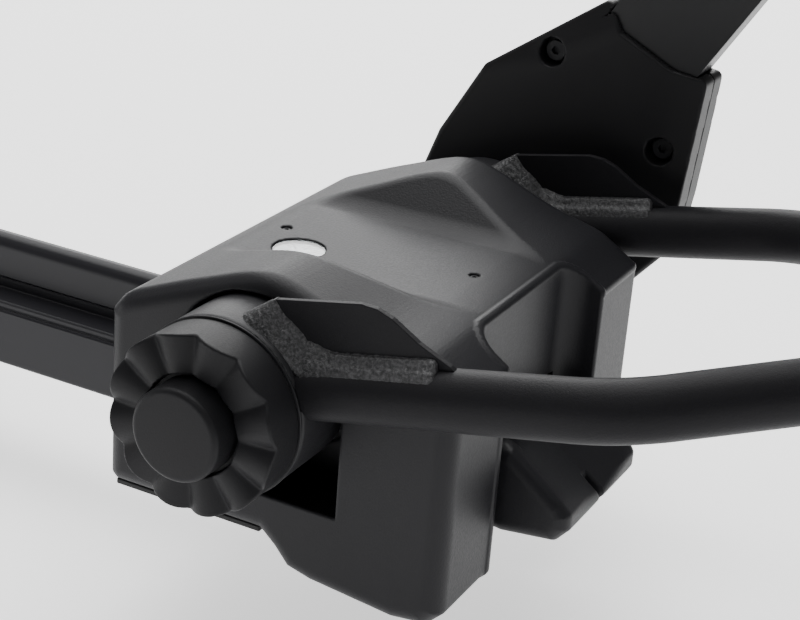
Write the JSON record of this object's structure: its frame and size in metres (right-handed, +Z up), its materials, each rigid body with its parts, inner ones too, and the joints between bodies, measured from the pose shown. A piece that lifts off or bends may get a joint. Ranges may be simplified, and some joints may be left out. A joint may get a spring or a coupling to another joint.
{
  "type": "roof mounted bike carrier",
  "caption": "Roof bar carrier that holds a bike by its wheels: rail, hub with hinged hoop and clamp knob, hook arm, rear wheel tray with strap, load bar clamps.",
  "frame": {"origin": "middle of the front load bar seat, on the face of the pad that rests on the bar", "axes": "+X along the rail towards the hoop, +Y to the hook arm, +Z up; rest pose is the pictured one, hoop 12 degrees and arm 58.7 degrees above the rail"},
  "size_m": [1.7092, 0.3323, 0.6268],
  "materials": {
    "rail_coat": "black powder-coated extrusion",
    "cover_plastic": "fine-grained black moulded plastic",
    "base_plastic": "plain black moulded plastic",
    "hoop_coat": "black powder coat on steel tube",
    "boss_coat": "black powder coat",
    "weld_coat": "rough weld bead under black powder coat",
    "frame_metal": "plain mill finish",
    "bright_steel": "zinc plated",
    "knob_plastic": "soft-touch black",
    "arm_plastic": "fine-grained black moulded plastic",
    "arm_coat": "black anodised",
    "pad_rubber": "matt",
    "lens": "clear polycarbonate",
    "dial_white": "white moulded plastic",
    "bush_plastic": "natural acetal",
    "nut_brass": "machined",
    "button_red": "satin"
  },
  "bodies": {
    "root": {"rail": "rail_coat", "rail_end_cap": "base_plastic", "hub_frame": "frame_metal", "hub_cover": "cover_plastic", "hub_base": "base_plastic", "wheel_cradle": "cover_plastic", "window_lens": "lens", "cover_screws": "boss_coat", "frame_bolts": "bright_steel", "shaft_bushes": "bush_plastic", "detent_ring_fixed": "bright_steel", "dial_bracket": "base_plastic", "tie_bolt": "bright_steel", "arm_spacer": "bright_steel", "front_saddle": "base_plastic", "front_saddle_pad": "pad_rubber"},
    "dial": {"index_dial": "dial_white"},
    "hoop": {"hoop_shaft": "bright_steel", "index_drive_ring": "bush_plastic", "detent_ring_moving": "bright_steel", "boss_near": "boss_coat", "boss_far": "boss_coat", "hoop_tube": "hoop_coat", "gusset_near": "hoop_coat", "gusset_far": "hoop_coat", "weld_near": "weld_coat", "weld_far": "weld_coat", "hoop_pad": "pad_rubber"},
    "knob": {"knob_body": "knob_plastic", "knob_cap": "knob_plastic", "knob_nut": "nut_brass", "knob_washer": "boss_coat"},
    "arm": {"arm_shell_front": "arm_plastic", "arm_shell_back": "arm_plastic", "arm_profile": "arm_coat", "arm_rack": "bright_steel", "arm_screws": "boss_coat", "arm_bush": "bush_plastic", "arm_end_cap": "base_plastic"},
    "slider": {"hook_slider": "arm_plastic", "hook": "arm_plastic", "hook_pad": "pad_rubber"},
    "button": {"release_button": "button_red"},
    "pawl": {"slider_pawl": "bright_steel"},
    "lock": {"lock_cylinder": "bright_steel"},
    "tray": {"rear_tray": "cover_plastic", "rear_strap": "pad_rubber", "buckle_base": "base_plastic", "buckle_pin": "bright_steel"},
    "lever": {"buckle_lever": "knob_plastic"},
    "front_jaw": {"front_jaw": "hoop_coat"},
    "front_knob": {"front_clamp_knob": "knob_plastic", "front_clamp_screw": "bright_steel"},
    "rear_clamp": {"rear_saddle": "base_plastic", "rear_saddle_pad": "pad_rubber"},
    "rear_jaw": {"rear_jaw": "hoop_coat"},
    "rear_knob": {"rear_clamp_knob": "knob_plastic", "rear_clamp_screw": "bright_steel"}
  },
  "joints": [
    {"name": "hoop_tilt", "type": "hinge", "parent": "root", "child": "hoop", "pos_m": [0.325, 0, 0.1], "axis": [0, -1, 0], "range_deg": [-12, 30]},
    {"name": "dial_turn", "type": "hinge", "parent": "root", "child": "dial", "pos_m": [0.297, -0.019, 0.12857], "axis": [-0.0105, 0, 0.9999], "range_deg": [-30, 30]},
    {"name": "knob_turn", "type": "hinge", "parent": "root", "child": "knob", "pos_m": [0.325, -0.13, 0.1], "axis": [0, -1, 0], "range_deg": [0, 1080]},
    {"name": "arm_fold", "type": "hinge", "parent": "root", "child": "arm", "pos_m": [0.325, 0.149, 0.1], "axis": [0, -1, 0], "range_deg": [-30, 118]},
    {"name": "hook_slide", "type": "slide", "parent": "arm", "child": "slider", "axis": [0.5195, 0, 0.8545], "range_m": [-0.2, 0.025]},
    {"name": "button_press", "type": "slide", "parent": "slider", "child": "button", "axis": [0.8545, 0, -0.5195], "range_m": [0, 0.0035], "stiffness_N_per_m": 400, "springref_m": -0.003},
    {"name": "pawl_lift", "type": "hinge", "parent": "slider", "child": "pawl", "pos_m": [0.55324, 0.149, 0.53352], "axis": [0, -1, 0], "range_deg": [-7, 7]},
    {"name": "lock_turn", "type": "hinge", "parent": "slider", "child": "lock", "pos_m": [0.56895, 0.13, 0.49354], "axis": [0, -1, 0], "range_deg": [0, 90]},
    {"name": "tray_slide", "type": "slide", "parent": "root", "child": "tray", "axis": [1, 0, 0], "range_m": [-0.04, 0.35]},
    {"name": "buckle_open", "type": "hinge", "parent": "tray", "child": "lever", "pos_m": [-0.84, 0.056, 0.14], "axis": [1, 0, 0], "range_deg": [0, 100]},
    {"name": "front_knob_turn", "type": "hinge", "parent": "root", "child": "front_knob", "pos_m": [-0.06, 0, 0.008], "axis": [-1, 0, 0], "range_deg": [0, 2884]},
    {"name": "front_jaw_drop", "type": "slide", "parent": "root", "child": "front_jaw", "axis": [0, 0, -1], "range_m": [0, 0.01]},
    {"name": "rear_clamp_slide", "type": "slide", "parent": "root", "child": "rear_clamp", "axis": [1, 0, 0], "range_m": [-0.2, 0.2]},
    {"name": "rear_knob_turn", "type": "hinge", "parent": "rear_clamp", "child": "rear_knob", "pos_m": [-0.76, 0, 0.008], "axis": [-1, 0, 0], "range_deg": [0, 2884]},
    {"name": "rear_jaw_drop", "type": "slide", "parent": "rear_clamp", "child": "rear_jaw", "axis": [0, 0, -1], "range_m": [0, 0.01]}
  ],
  "couplings": [
    {"joint": "dial_turn", "follows": "hoop_tilt", "ratio": 0.7521},
    {"joint": "pawl_lift", "follows": "button_press", "rad_per_m": -29.92},
    {"joint": "front_knob_turn", "follows": "front_jaw_drop", "rad_per_m": 5026.5},
    {"joint": "rear_knob_turn", "follows": "rear_jaw_drop", "rad_per_m": 5026.5}
  ]
}
